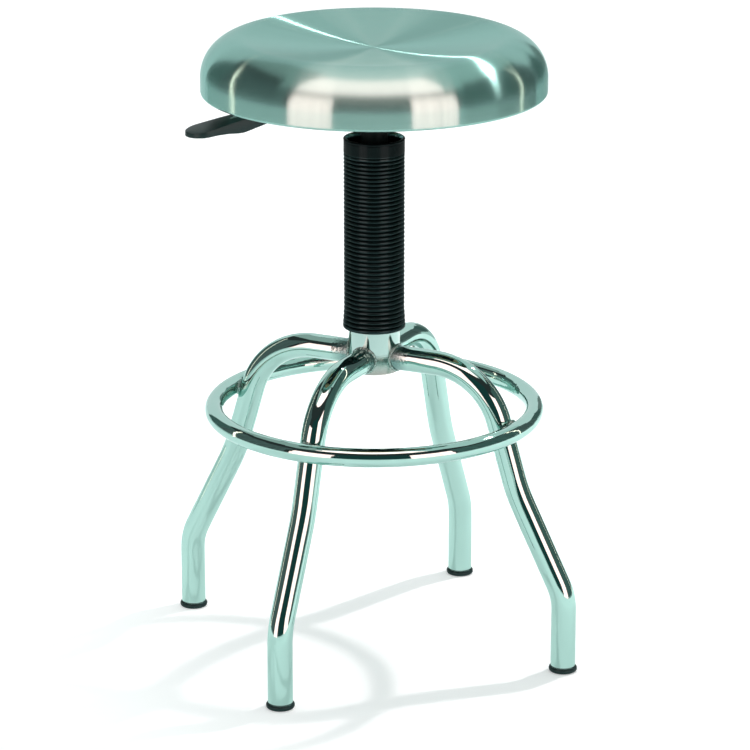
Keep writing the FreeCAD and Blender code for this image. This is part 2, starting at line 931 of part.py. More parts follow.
save("mounting_plate", make_mounting_plate())
save("seat_bolts", make_seat_bolts())
save("seat_washers", make_seat_washers())
save("tee_nuts", make_tee_nuts())
save("lever_bracket", make_lever_bracket())
save("lever_pin", make_lever_pin())
save("lever_rod", make_lever_rod())
save("lever_paddle", make_lever_paddle())
save("bellows", make_bellows())
save("seat_shell", make_seat_shell())
save("seat_board", make_seat_board())
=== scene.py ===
import json
import math
import random

import bpy
from mathutils import Euler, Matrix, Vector


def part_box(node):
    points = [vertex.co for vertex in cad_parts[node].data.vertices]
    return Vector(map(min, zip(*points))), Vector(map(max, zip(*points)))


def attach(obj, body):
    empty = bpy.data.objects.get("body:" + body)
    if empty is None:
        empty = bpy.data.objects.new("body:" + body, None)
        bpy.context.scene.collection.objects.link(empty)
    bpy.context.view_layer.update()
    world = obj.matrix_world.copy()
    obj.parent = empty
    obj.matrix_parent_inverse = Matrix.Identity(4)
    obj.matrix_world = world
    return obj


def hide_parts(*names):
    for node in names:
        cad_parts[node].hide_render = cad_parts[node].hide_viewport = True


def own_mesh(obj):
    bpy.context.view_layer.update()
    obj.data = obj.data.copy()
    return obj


bl_info = {
    "name": "Work Stool",
    "version": (1, 0, 0),
    "blender": (4, 5, 0),
    "location": "View3D > Sidebar > Stool",
    "description": "Dresses a steel work stool: polished tubes, a brushed seat and a ribbed bellows",
    "category": "Object",
}

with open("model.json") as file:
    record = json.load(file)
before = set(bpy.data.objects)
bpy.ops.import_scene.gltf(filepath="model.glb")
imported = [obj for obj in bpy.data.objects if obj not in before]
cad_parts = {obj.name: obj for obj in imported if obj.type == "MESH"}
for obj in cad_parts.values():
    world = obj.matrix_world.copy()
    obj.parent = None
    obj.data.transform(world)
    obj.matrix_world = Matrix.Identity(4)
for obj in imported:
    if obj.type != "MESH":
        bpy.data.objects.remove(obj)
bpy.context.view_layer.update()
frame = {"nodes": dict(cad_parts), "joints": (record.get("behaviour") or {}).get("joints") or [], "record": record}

# The four legs, and the turn of each from the first
leg_turns = {"right": 0, "rear": 90, "left": 180, "front": 270}

# Places that the frame gives, in metres
hub_low, hub_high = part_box("hub_tube")
ring_low, ring_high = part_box("foot_ring")
cap_low, cap_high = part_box("right_foot_cap")
leg_low, leg_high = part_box("right_leg")
bellows_low, bellows_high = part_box("bellows")
shell_low, shell_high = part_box("seat_shell")
column_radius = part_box("column_tube")[1].x
paddle_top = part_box("lever_paddle")[1].z


def length(name, text, value):
    """A size in metres that a user can change."""
    return bpy.props.FloatProperty(name=name, description=text, default=value, precision=5,
                                   unit="LENGTH", subtype="DISTANCE")


def tint(name, text, value):
    """A colour that a user can change."""
    return bpy.props.FloatVectorProperty(name=name, description=text, default=value, size=3,
                                         subtype="COLOR", min=0.0, max=1.0)


class StoolSizes(bpy.types.PropertyGroup):
    """Sizes of the stool's pieces."""

    leg_diameter: length("Leg tube", "Outside diameter of the leg tubes", leg_high.y - leg_low.y)
    ring_diameter: length("Ring tube", "Outside diameter of the foot ring's tube", ring_high.z - ring_low.z)
    hub_edge: length("Hub edge", "Rounding of the hub's edges", 0.0008)
    weld_bead: length("Weld bead", "Half the width of the beads round the hub", 0.0014)
    ring_bead: length("Ring bead", "Half the width of the beads on the foot ring", 0.0020)
    bellows_bore: length("Bellows bore", "Inside diameter of the bellows", 0.0536)
    bellows_rise: length("Bellows rise", "How far the bellows' mouth stands over its solid", 0.0014)
    rib_depth: length("Rib depth", "Depth of the bellows' grooves", 0.0029)
    shell_wall: length("Shell wall", "Thickness of the seat's sheet steel", 0.0012)
    seat_crown: length("Seat crown", "Radius of the seat's shoulder", 0.040)
    dish_depth: length("Dish depth", "How far the middle of the seat lies under its shoulder", 0.011)
    paddle_length: length("Paddle length", "Length of the release paddle", 0.0947)
    paddle_width: length("Paddle width", "Width of the paddle at its tip", 0.036)
    paddle_root: length("Paddle root", "Width of the paddle at its root", 0.021)
    paddle_edge: length("Paddle edge", "Rounding of the paddle's rim", 0.0009)
    lip_radius: length("Lip radius", "Radius of the seat's turned-in edge", 0.003)


class StoolColours(bpy.types.PropertyGroup):
    """Colours of the stool's finishes."""

    chrome: tint("Chrome", "Polished tubes", (0.39, 0.615, 0.56))
    hub: tint("Hub", "Satin chrome of the hub", (0.40, 0.57, 0.53))
    steel: tint("Seat steel", "Brushed seat", (0.30, 0.525, 0.475))
    plastic: tint("Plastic", "Paddle and foot caps", (0.0085, 0.0165, 0.0165))
    rubber: tint("Rubber", "Bellows", (0.0024, 0.0048, 0.0050))
    zinc: tint("Zinc", "Bolts, washers and nuts", (0.46, 0.50, 0.49))
    ply: tint("Plywood", "Seat board", (0.45, 0.30, 0.16))
    black: tint("Black steel", "Mounting plate and lift", (0.007, 0.010, 0.010))


# Materials

class Value:
    """A socket of a material, with arithmetic that adds nodes."""

    def __init__(self, finish, socket):
        self.finish = finish
        self.socket = socket

    def math(self, operation, *others):
        """The result of a Math node on this socket and the others."""
        return self.finish.math(operation, self, *others)

    def __add__(self, other):
        return self.math("ADD", other)

    def __sub__(self, other):
        return self.math("SUBTRACT", other)

    def __mul__(self, other):
        return self.math("MULTIPLY", other)

    def __rsub__(self, other):
        return self.finish.math("SUBTRACT", other, self)

    __radd__ = __add__
    __rmul__ = __mul__

    def ramp(self, low, high):
        """0 below low and 1 above high, straight between them."""
        return self.finish.node("ShaderNodeMapRange", {"clamp": True},
                                {"Value": self, "From Min": low, "From Max": high})


class Finish:
    """A material or a world while its nodes are laid."""

    def __init__(self, name, world=False):
        self.output = "ShaderNodeOutputWorld" if world else "ShaderNodeOutputMaterial"
        self.holder = (bpy.data.worlds if world else bpy.data.materials).new(name)
        self.holder.use_nodes = True
        self.tree = self.holder.node_tree
        self.tree.nodes.clear()

    def node(self, kind, settings=None, sockets=None, output=0):
        """Add a node with its settings, then the values and links of its sockets, and return one output."""
        made = self.tree.nodes.new(kind)
        for key, value in (settings or {}).items():
            setattr(made, key, value)
        for key, value in (sockets or {}).items():
            if isinstance(value, Value):
                self.tree.links.new(value.socket, made.inputs[key])
            elif made.inputs[key].type == "RGBA":
                made.inputs[key].default_value = tuple(value) + (1.0,)
            else:
                made.inputs[key].default_value = value
        return Value(self, made.outputs[output]) if made.outputs else None

    def math(self, operation, *numbers):
        """The result of a Math node."""
        return self.node("ShaderNodeMath", {"operation": operation}, dict(enumerate(numbers)))

    def measure(self, operation, *vectors):
        """A number from vectors, such as a length or a distance."""
        return self.node("ShaderNodeVectorMath", {"operation": operation}, dict(enumerate(vectors)),
                         output="Value")

    def place(self, scale=(1, 1, 1)):
        """Object coordinates, scaled."""
        coords = self.node("ShaderNodeTexCoord", output="Object")
        return self.node("ShaderNodeMapping", {}, {"Vector": coords, "Scale": scale})

    def parts(self, vector):
        """The three numbers of a vector."""
        first = self.node("ShaderNodeSeparateXYZ", {}, {"Vector": vector})
        return [Value(self, socket) for socket in first.socket.node.outputs]

    def join(self, x, y, z):
        """A vector from three numbers."""
        return self.node("ShaderNodeCombineXYZ", {}, {"X": x, "Y": y, "Z": z})

    def noise(self, where, scale, detail=2.0, roughness=0.5):
        """Cloudy noise from 0 to 1."""
        return self.node("ShaderNodeTexNoise", {}, {"Vector": where, "Scale": scale, "Detail": detail,
                                                    "Roughness": roughness})

    def mix(self, share, first, second):
        """A colour between two colours."""
        return self.node("ShaderNodeMix", {"data_type": "RGBA"}, {0: share, 6: first, 7: second}, output=2)

    def bump(self, height, distance, strength=1.0):
        """A normal from a height, for relief of some depth in metres."""
        return self.node("ShaderNodeBump", {}, {"Height": height, "Distance": distance,
                                                "Strength": strength})

    def shader(self, kind="Principled", **sockets):
        """A shader with its sockets."""
        named = {key.replace("_", " "): value for key, value in sockets.items()}
        return self.node("ShaderNodeBsdf" + kind, {}, named)

    def light(self, colour, strength):
        """A shader that glows."""
        return self.node("ShaderNodeEmission", {}, {"Color": colour, "Strength": strength})

    def end(self, shader):
        """Link a shader to the output, and return the material or world."""
        self.node(self.output, {}, {"Surface": shader})
        return self.holder

    def sheen(self, share, first, second):
        """End in one shader with a share of another."""
        return self.end(self.node("ShaderNodeMixShader", {}, {0: share, 1: first, 2: second}))

    def surface(self, **sockets):
        """End in one shader."""
        return self.end(self.shader(**sockets))


def darker(colour, share):
    """A colour times a number."""
    return tuple(channel * share for channel in colour)


# The legs' darkening near the hub, a painted reflection of the bellows over a mottled weld zone: where it starts
# from the hub's axis, and how wide it fades
hub_dark_radius = 0.037
hub_dark_fade = 0.014


def chrome_finish(finish, colour):
    """Polished chrome, faintly uneven, with a painted reflection of the bellows darkening it near the hub's welds,
    where it is also mottled.
    """
    where = finish.place()
    x, y, z = finish.parts(where)
    cloud = finish.noise(where, 34.0, 3.0)
    specks = finish.noise(where, 900.0, 1.0)
    reach = finish.measure("LENGTH", finish.join(x, y, (z - leg_heights[0]) * 0.8))
    mottle_and_painted_reflection = (1 - (reach + cloud * 0.012).ramp(hub_dark_radius, hub_dark_radius + hub_dark_fade)) * 0.45
    tone = finish.mix(cloud * 0.35, colour, darker(colour, 0.9))
    # Painted reflection: near the hub the tone darkens where the bellows would be mirrored
    tone = finish.mix(mottle_and_painted_reflection * 1.7, tone, (0.105, 0.215, 0.205))
    rough = 0.028 + cloud * 0.03 + specks.ramp(0.62, 0.9) * 0.10 + mottle_and_painted_reflection * 0.4
    ripple = finish.noise(finish.place((22, 22, 9)), 1.0, 2.0)
    relief = finish.bump(ripple + mottle_and_painted_reflection * finish.noise(where, 330.0, 3.0) * 4.0, 0.0011, 0.55)
    return finish.surface(Base_Color=tone, Metallic=1.0, Roughness=rough, Normal=relief,
                          Specular_Tint=(0.80, 0.86, 0.86))


def satin_finish(finish, colour):
    """Satin chrome of the hub, greyer towards its lower edge."""
    where = finish.place()
    height = finish.parts(where)[2]
    cloud = finish.noise(where, 60.0, 3.0)
    lines = finish.noise(finish.place((40, 40, 1800)), 1.0, 2.0)
    low = 1 - (height + cloud * 0.004).ramp(hub_low.z + 0.002, hub_low.z + 0.018)
    tone = finish.mix(cloud * 0.4, colour, darker(colour, 0.88))
    tone = finish.mix(low * 0.95, tone, (0.36, 0.375, 0.34))
    relief = finish.bump(lines * 0.4 + cloud, 0.00012, 0.35)
    rough = 0.05 + cloud * 0.05 + low * 0.22
    return finish.surface(Base_Color=tone, Metallic=1.0, Roughness=rough, Normal=relief)


def weld_finish(finish, colour):
    """Chromed weld beads, with painted shade in their hollows."""
    where = finish.place()
    lumps = finish.noise(where, 420.0, 4.0, 0.6)
    soot = finish.noise(where, 90.0, 2.0)
    # Painted shade: the hollows between the lumps are darkened
    tone = finish.mix(lumps.ramp(0.32, 0.60), darker(colour, 0.40), colour)
    tone = finish.mix(soot * 0.25, tone, darker(colour, 0.5))
    beads = finish.noise(where, 1100.0, 1.0)
    relief = finish.bump(lumps + beads * 0.25, 0.0022)
    return finish.surface(Base_Color=tone, Metallic=1.0, Roughness=0.08 + soot * 0.16, Normal=relief)


def brushed_finish(finish, colour):
    """Sheet steel spun and brushed in circles round its middle."""
    x, y, z = finish.parts(finish.place())
    course = finish.measure("LENGTH", finish.join(x, y, 0.0)) - z
    turn = y.math("ARCTAN2", x)
    coarse = finish.noise(finish.join(course * 520.0, turn * 0.9, 0.0), 1.0, 3.0, 0.65)
    fine = finish.noise(finish.join(course * 2300.0, turn * 2.6, 1.0), 1.0, 2.0, 0.7)
    wide = finish.noise(finish.join(course * 60.0, turn * 0.35, 4.0), 1.0, 2.0)
    lines = coarse * 0.5 + fine * 0.5
    tone = finish.mix((1 - lines).ramp(0.35, 0.75) * 0.26, colour, darker(colour, 0.72))
    tone = finish.mix(wide.ramp(0.4, 0.8) * 0.20, tone, darker(colour, 1.12))
    rough = 0.16 + lines * 0.04 + wide * 0.02
    relief = finish.bump(fine, 0.000012)
    tangent = finish.node("ShaderNodeTangent", {"direction_type": "RADIAL", "axis": "Z"})
    first = finish.shader(Base_Color=tone, Metallic=1.0, Roughness=rough, Normal=relief, Tangent=tangent,
                          Anisotropic=1.0, Anisotropic_Rotation=0.25, Specular_Tint=(0.60, 0.74, 0.73))
    second = finish.shader("Anisotropic", Color=colour, Roughness=0.25, Anisotropy=0.86, Tangent=tangent)
    return finish.sheen(0.34, first, second)


def plastic_finish(finish, colour, grain, rough):
    """Moulded plastic or rubber with a fine grain."""
    where = finish.place()
    pores = finish.node("ShaderNodeTexVoronoi", {"feature": "F1"}, {"Vector": where, "Scale": grain})
    cloud = finish.noise(where, 60.0, 3.0)
    dust = finish.noise(where, 240.0, 4.0, 0.65).ramp(0.56, 0.82)
    tone = finish.mix(cloud, darker(colour, 0.75), darker(colour, 1.35))
    tone = finish.mix(dust * 0.12, tone, (0.10, 0.12, 0.12))
    relief = finish.bump(pores + cloud * 0.4, 0.00012, 0.6)
    first = finish.shader(Base_Color=tone, Roughness=rough + cloud * 0.12 + dust * 0.15, Normal=relief,
                          Specular_IOR_Level=0.06)
    second = finish.shader("Anisotropic", Color=(0.42, 0.90, 0.86), Roughness=rough)
    return finish.sheen(0.028, first, second)


def rubber_finish(finish, colour):
    """Black bellows rubber, greyed by dust. Its gloss is an attribute of the bellows' points."""
    where = finish.place()
    cloud = finish.noise(where, 70.0, 3.0)
    grain = finish.noise(where, 1400.0, 2.0)
    dust = finish.noise(finish.place((120, 120, 520)), 1.0, 3.0).ramp(0.55, 0.85)
    tone = finish.mix(cloud, darker(colour, 0.8), darker(colour, 1.3))
    tone = finish.mix(dust * 0.03, tone, (0.07, 0.085, 0.085))
    relief = finish.bump(grain + cloud, 0.00010, 0.5)
    first = finish.shader(Base_Color=tone, Roughness=0.42 + cloud * 0.12 + dust * 0.12, Normal=relief,
                          Specular_IOR_Level=0.03)
    second = finish.shader("Anisotropic", Color=(0.38, 0.82, 0.82), Roughness=0.20)
    gloss = finish.node("ShaderNodeAttribute", {"attribute_name": "gloss"}, output="Fac")
    return finish.sheen(gloss, first, second)


def metal_finish(finish, colour, rough):
    """Plain turned or plated metal with fine scratches."""
    cloud = finish.noise(finish.place(), 160.0, 3.0)
    lines = finish.noise(finish.place((240, 240, 2600)), 1.0, 2.0)
    tone = finish.mix(cloud, darker(colour, 0.8), darker(colour, 1.12))
    tone = finish.mix(lines.ramp(0.55, 0.8) * 0.3, tone, darker(colour, 0.6))
    relief = finish.bump(lines + cloud * 0.5, 0.00008, 0.5)
    return finish.surface(Base_Color=tone, Metallic=1.0, Roughness=rough + cloud * 0.12, Normal=relief)


def paint_finish(finish, colour):
    """Black powder coat with an orange-peel skin."""
    where = finish.place()
    peel = finish.noise(where, 700.0, 1.0)
    cloud = finish.noise(where, 45.0, 3.0)
    tone = finish.mix(cloud, darker(colour, 0.8), darker(colour, 1.3))
    relief = finish.bump(peel, 0.00012, 0.6)
    return finish.surface(Base_Color=tone, Roughness=0.33 + cloud * 0.14, Normal=relief,
                          Specular_IOR_Level=0.08, Specular_Tint=(0.50, 0.90, 0.86))


def ply_finish(finish, colour):
    """Birch plywood: plies that cross at the edge, and grain on the face."""
    x, y, z = finish.parts(finish.place())
    layers = z * 715.0
    ply = layers.math("FLOOR")
    cross = (ply * 0.5).math("FRACT") * 2.0
    grain_x = finish.noise(finish.join(x * 14.0, y * 190.0, ply * 3.1), 1.0, 4.0, 0.62)
    grain_y = finish.noise(finish.join(x * 190.0, y * 14.0, ply * 1.7), 1.0, 4.0, 0.62)
    grain = grain_x * cross + grain_y * (1 - cross)
    seam = layers.math("FRACT").ramp(0.0, 0.14)
    tone = finish.mix(grain.ramp(0.3, 0.72), darker(colour, 0.62), darker(colour, 1.18))
    tone = finish.mix(cross * 0.35, tone, darker(colour, 0.55))
    tone = finish.mix((1 - seam) * 0.7, tone, darker(colour, 0.25))
    relief = finish.bump(grain + seam, 0.0002, 0.6)
    return finish.surface(Base_Color=tone, Roughness=0.55 + grain * 0.25, Normal=relief)


def finish_named(name):
    """The material of a name, made the first time that it is asked for."""
    if name in bpy.data.materials:
        return bpy.data.materials[name]
    colours = bpy.context.scene.stool_colours
    makers = {
        "polished_chrome": (chrome_finish, colours.chrome),
        "satin_hub": (satin_finish, colours.hub),
        "chromed_weld": (weld_finish, colours.chrome),
        "brushed_seat_steel": (brushed_finish, colours.steel),
        "moulded_plastic": (plastic_finish, colours.plastic, 1500.0, 0.34),
        "ribbed_rubber": (rubber_finish, colours.rubber),
        "black_powder_coat": (paint_finish, colours.black),
        "zinc_plate": (metal_finish, colours.zinc, 0.30),
        "ground_steel": (metal_finish, (0.55, 0.57, 0.58), 0.14),
        "pale_plastic": (plastic_finish, (0.42, 0.43, 0.40), 900.0, 0.42),
        "soft_rubber": (plastic_finish, (0.012, 0.012, 0.012), 700.0, 0.5),
        "valve_alloy": (metal_finish, (0.50, 0.50, 0.48), 0.34),
        "birch_plywood": (ply_finish, colours.ply),
    }
    make, colour, *values = makers[name]
    return make(Finish(name), tuple(colour), *values)


# The finish of each slot in the record
slot_finishes = {
    "chrome_tube": "polished_chrome", "chrome_weld": "chromed_weld", "brushed_seat": "brushed_seat_steel",
    "black_plastic": "moulded_plastic", "bellows_rubber": "ribbed_rubber", "zinc_steel": "zinc_plate",
    "black_steel": "black_powder_coat", "bearing_steel": "ground_steel", "guide_plastic": "pale_plastic",
    "seal_rubber": "soft_rubber", "valve_metal": "valve_alloy", "plywood": "birch_plywood",
}


# Modelling

def nothing_selected():
    """Leave edit mode and select nothing."""
    if bpy.context.object and bpy.context.object.mode != "OBJECT":
        bpy.ops.object.mode_set(mode="OBJECT")
    bpy.ops.object.select_all(action="DESELECT")


def select_only(piece):
    """Select one piece and make it active."""
    nothing_selected()
    piece.select_set(True)
    bpy.context.view_layer.objects.active = piece


def settle(name):
    """Name the new object and put its place, turn and size into its mesh."""
    piece = bpy.context.object
    piece.name = name
    piece.data.name = name
    bpy.ops.object.transform_apply(location=True, rotation=True, scale=True)
    return piece


def trace(name, points):
    """Draw a line through points, and stay in edit mode with all of it selected."""
    nothing_selected()
    bpy.ops.mesh.primitive_plane_add(size=0.01, location=(0, 0, 0), enter_editmode=True)
    bpy.context.object.name = name
    bpy.context.object.data.name = name
    bpy.ops.mesh.select_all(action="SELECT")
    bpy.ops.mesh.merge(type="CENTER")
    bpy.ops.transform.translate(value=points[0])
    for here, there in zip(points, points[1:]):
        step = [end - start for start, end in zip(here, there)]
        bpy.ops.mesh.extrude_region_move(TRANSFORM_OT_translate={"value": step})
    bpy.ops.mesh.select_all(action="SELECT")


def turned(name, section, steps=128):
    """Spin a section of (radius, height) points round the Z axis. A section that starts and ends on the
    axis, or comes back to its first point, makes a closed piece."""
    trace(name, [(radius, 0, height) for radius, height in section])
    bpy.ops.mesh.spin(steps=steps, angle=2 * math.pi, center=(0, 0, 0), axis=(0, 0, 1))
    return finish_mesh(bpy.context.object)


def finish_mesh(piece, angle=40):
    """Merge doubles, turn the faces outwards and shade smooth up to an angle."""
    bpy.ops.object.mode_set(mode="EDIT")
    bpy.ops.mesh.select_all(action="SELECT")
    bpy.ops.mesh.remove_doubles(threshold=0.000002)
    bpy.ops.mesh.normals_make_consistent(inside=False)
    bpy.ops.object.mode_set(mode="OBJECT")
    bpy.ops.object.shade_smooth_by_angle(angle=math.radians(angle))
    return piece


def arc(centre, radius, start, end, steps):
    """Points on a circle of the section, from one angle in degrees to another."""
    points = []
    for step in range(steps + 1):
        angle = math.radians(start + (end - start) * step / steps)
        points.append((centre[0] + radius * math.cos(angle), centre[1] + radius * math.sin(angle)))
    return points


def copy_turned(piece, name, degrees):
    """A copy with its own mesh, turned round the Z axis."""
    select_only(piece)
    bpy.ops.object.duplicate()
    bpy.context.object.rotation_euler.z = math.radians(degrees)
    return settle(name)


def apply_modifier(piece, kind, **settings):
    """Add a modifier with settings and apply it."""
    select_only(piece)
    modifier = piece.modifiers.new(kind.title(), kind)
    for key, value in settings.items():
        setattr(modifier, key, value)
    bpy.ops.object.modifier_apply(modifier=modifier.name)


def paint(piece, material):
    """Give a piece one material."""
    piece.data.materials.clear()
    piece.data.materials.append(material)


def set_piece(piece, finish, slot, body, *nodes):
    """Paint a piece, let it ride on a body and stand for its nodes."""
    paint(piece, finish_named(finish))
    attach(piece, body)
    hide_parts(*nodes)


# Pieces

# A leg's centre line in its own plane: heights and reaches of its corners, and radii of its bends
leg_heights = (0.311, 0.311, 0.186, 0.0808, 0.003)
leg_reaches = (0.0, 0.125, 0.1622, 0.2155, 0.2155)
leg_bends = (0.075, 0.180, 0.060)


def bend_tube(name, radius, corners, bends, sides=56):
    """A round tube in the XZ plane: its straight runs are extruded and its bends spun. Its first
    end stays open."""
    nothing_selected()
    bpy.ops.mesh.primitive_circle_add(vertices=sides, radius=radius, location=corners[0],
                                      rotation=(0, math.pi / 2, 0))
    piece = settle(name)
    bpy.ops.object.mode_set(mode="EDIT")
    bpy.ops.mesh.select_all(action="SELECT")
    here = corners[0].copy()
    for index, bend in enumerate(bends):
        corner = corners[index + 1]
        before = (corner - corners[index]).normalized()
        after = (corners[index + 2] - corner).normalized()
        turn = before.angle(after)
        tangent = bend * math.tan(turn / 2)
        start = corner - before * tangent
        bpy.ops.mesh.extrude_region_move(TRANSFORM_OT_translate={"value": start - here})
        side = before.cross(after).normalized()
        centre = start + side.cross(before) * bend
        steps = max(8, round(math.degrees(turn) / 2))
        bpy.ops.mesh.spin(steps=steps, angle=-turn, center=centre, axis=side)
        here = corner + after * tangent
    bpy.ops.mesh.extrude_region_move(TRANSFORM_OT_translate={"value": corners[-1] - here})
    bpy.ops.mesh.edge_face_add()
    bpy.ops.mesh.select_all(action="DESELECT")
    bpy.ops.object.mode_set(mode="OBJECT")
    return piece


class STOOL_OT_legs(bpy.types.Operator):
    """Bend the four leg tubes and shape their ends to the hub"""

    bl_idname = "stool.legs"
    bl_label = "Legs"

    def execute(self, context):
        corners = [Vector((reach, 0, height)) for reach, height in zip(leg_reaches, leg_heights)]
        leg = bend_tube("leg_right", context.scene.stool_sizes.leg_diameter / 2, corners, leg_bends)
        # The open end follows the hub's round wall, one millimetre inside it
        fit = hub_high.x - 0.0010
        for vertex in leg.data.vertices:
            if vertex.co.x < fit / 2:
                vertex.co.x = math.sqrt(fit ** 2 - vertex.co.y ** 2)
                vertex.select = True
        bpy.ops.object.mode_set(mode="EDIT")
        bpy.ops.mesh.edge_face_add()
        finish_mesh(leg)
        for side, turn in leg_turns.items():
            piece = leg if side == "right" else copy_turned(leg, "leg_" + side, turn)
            set_piece(piece, "polished_chrome", "chrome_tube", "frame", side + "_leg")
        return {"FINISHED"}


class STOOL_OT_foot_ring(bpy.types.Operator):
    """Make the foot ring with its ground joint"""

    bl_idname = "stool.foot_ring"
    bl_label = "Foot ring"

    def execute(self, context):
        radius = context.scene.stool_sizes.ring_diameter / 2
        height = (ring_low.z + ring_high.z) / 2
        segments = 220
        nothing_selected()
        bpy.ops.mesh.primitive_torus_add(location=(0, 0, height), major_radius=ring_high.x - radius,
                                         minor_radius=radius, major_segments=segments, minor_segments=40)
        ring = settle("foot_ring_tube")
        # One segment between the right and the rear leg is cut in three, and its middle is ground thinner
        ground = 0.985
        step = math.radians(360 / segments)
        joint = math.radians(45) + step / 2
        middle = Vector((math.cos(joint), math.sin(joint), 0)) * (ring_high.x - radius)
        middle.z = height
        for vertex in ring.data.vertices:
            around = math.atan2(vertex.co.y, vertex.co.x)
            vertex.select = abs(around - joint) < step
        bpy.ops.object.mode_set(mode="EDIT")
        bpy.ops.mesh.select_mode(type="VERT")
        bpy.ops.mesh.subdivide(number_cuts=2)
        bpy.ops.object.mode_set(mode="OBJECT")
        for vertex in ring.data.vertices:
            around = abs(math.atan2(vertex.co.y, vertex.co.x) - joint)
            if around < step * 0.3:
                vertex.co = middle + (vertex.co - middle) * ground
        finish_mesh(ring)
        set_piece(ring, "polished_chrome", "chrome_tube", "frame", "foot_ring")
        return {"FINISHED"}


class STOOL_OT_hub(bpy.types.Operator):
    """Turn the hub tube with rounded edges"""

    bl_idname = "stool.hub"
    bl_label = "Hub"

    def execute(self, context):
        edge = context.scene.stool_sizes.hub_edge
        outside, inside, low, high = hub_high.x, column_radius, hub_low.z, hub_high.z
        section = arc((outside - edge, low + edge), edge, -90, 0, 5)
        section += arc((outside - edge, high - edge), edge, 0, 90, 5)
        section += [(inside + edge, high), (inside, high - edge), (inside, low + edge), (inside + edge, low)]
        section.append(section[0])
        hub = turned("hub_sleeve", section, 144)
        set_piece(hub, "satin_hub", "chrome_tube", "frame", "hub_tube")
        return {"FINISHED"}


def bead(name, radius, thick, shape, seed, ripples):
    """A closed weld bead: a torus whose points are moved by shape, with ripples and a little chance."""
    nothing_selected()
    bpy.ops.mesh.primitive_torus_add(location=(0, 0, 0), rotation=(0, math.pi / 2, 0), major_radius=radius,
                                     minor_radius=thick, major_segments=144, minor_segments=12)
    piece = settle(name)
    chance = random.Random(seed)
    lumps = [chance.uniform(-0.16, 0.16) for _ in range(ripples)]
    for vertex in piece.data.vertices:
        angle = math.atan2(vertex.co.y, vertex.co.z)
        centre = Vector((0, math.sin(angle) * radius, math.cos(angle) * radius))
        share = (angle / (2 * math.pi) + 0.5) * ripples
        ripple = math.sqrt(max(0.0, 1 - (2 * (share % 1.0) - 1) ** 2))
        swell = 0.86 + 0.20 * ripple + lumps[int(share) % ripples]
        vertex.co = centre + (vertex.co - centre) * swell
        vertex.co.x += shape(centre.y, centre.z)
    return finish_mesh(piece, 60)


class STOOL_OT_welds(bpy.types.Operator):
    """Lay the weld beads between the legs and the hub, and between the ring and the legs"""

    bl_idname = "stool.welds"
    bl_label = "Welds"

    def execute(self, context):
        sizes = context.scene.stool_sizes
        leg = sizes.leg_diameter / 2
        ring_tube = sizes.ring_diameter / 2
        # The bead at the hub follows its round wall
        at_hub = bead("hub_weld_right", leg + 0.0004, sizes.weld_bead,
                      lambda y, z: math.sqrt(hub_high.x ** 2 - y ** 2) + 0.0006, seed=3, ripples=30)
        at_hub.location.z = leg_heights[0]
        settle("hub_weld_right")
        # The bead at the ring is a saddle between the two tubes, and leans half as much as the leg
        saddle = 0.0062
        at_ring = bead("ring_weld_right", saddle, sizes.ring_bead,
                       lambda y, z: (z ** 2 / ring_tube - y ** 2 / leg) / 4, seed=8, ripples=14)
        lean = math.atan2(leg_reaches[2] - leg_reaches[1], leg_heights[1] - leg_heights[2])
        at_ring.rotation_euler.y = -lean / 2
        at_ring.location = (ring_high.x - 2 * ring_tube, 0, (ring_low.z + ring_high.z) / 2)
        settle("ring_weld_right")
        for side, turn in leg_turns.items():
            for piece, kind in ((at_hub, "hub_weld"), (at_ring, "ring_weld")):
                copy = piece if side == "right" else copy_turned(piece, kind + "_" + side, turn)
                set_piece(copy, "chromed_weld", "chrome_weld", "frame", kind + "s")
        return {"FINISHED"}


class STOOL_OT_foot_caps(bpy.types.Operator):
    """Turn the four foot caps with their rounded flange and ribbed sole"""

    bl_idname = "stool.foot_caps"
    bl_label = "Foot caps"

    def execute(self, context):
        flange = (cap_high.x - cap_low.x) / 2
        leg = context.scene.stool_sizes.leg_diameter / 2
        edge = 0.0024
        # The grooved sole, the rounded flange, then the collar and the inside
        section = [(0, 0.0012), (0.004, 0.0012), (0.0045, 0), (0.008, 0), (0.0085, 0.0010),
                   (0.0095, 0.0010), (0.010, 0)]
        section += arc((flange - edge, edge), edge, -90, 0, 7)
        section += arc((flange - edge, 0.0032), edge, 0, 80, 7)
        section += [(leg + 0.0004, 0.0060), (leg + 0.0002, 0.0064), (leg - 0.0006, 0.0066),
                    (leg - 0.0012, 0.0030), (0, 0.0030)]
        cap = turned("foot_cap_right", section, 64)
        cap.location.x = (cap_high.x + cap_low.x) / 2
        settle("foot_cap_right")
        for side, turn in leg_turns.items():
            piece = cap if side == "right" else copy_turned(cap, "foot_cap_" + side, turn)
            set_piece(piece, "moulded_plastic", "black_plastic", "frame", side + "_foot_cap")
        return {"FINISHED"}


# Ribs with a leaning upper flank: shares of the groove's depth and of the pitch
rib_shape = ((0.0, 0.08), (0.66, 0.20), (0.94, 0.30), (1.0, 0.40), (0.93, 0.56), (0.84, 0.72), (0.55, 0.86),
             (0.0, 0.98))

# Shares of gloss on the bellows, and how far each reaches down from the mouth
lip_gloss, lip_depth = 0.30, 0.0034
cuff_gloss, cuff_depth = 0.009, 0.0145
rib_gloss = 0.034


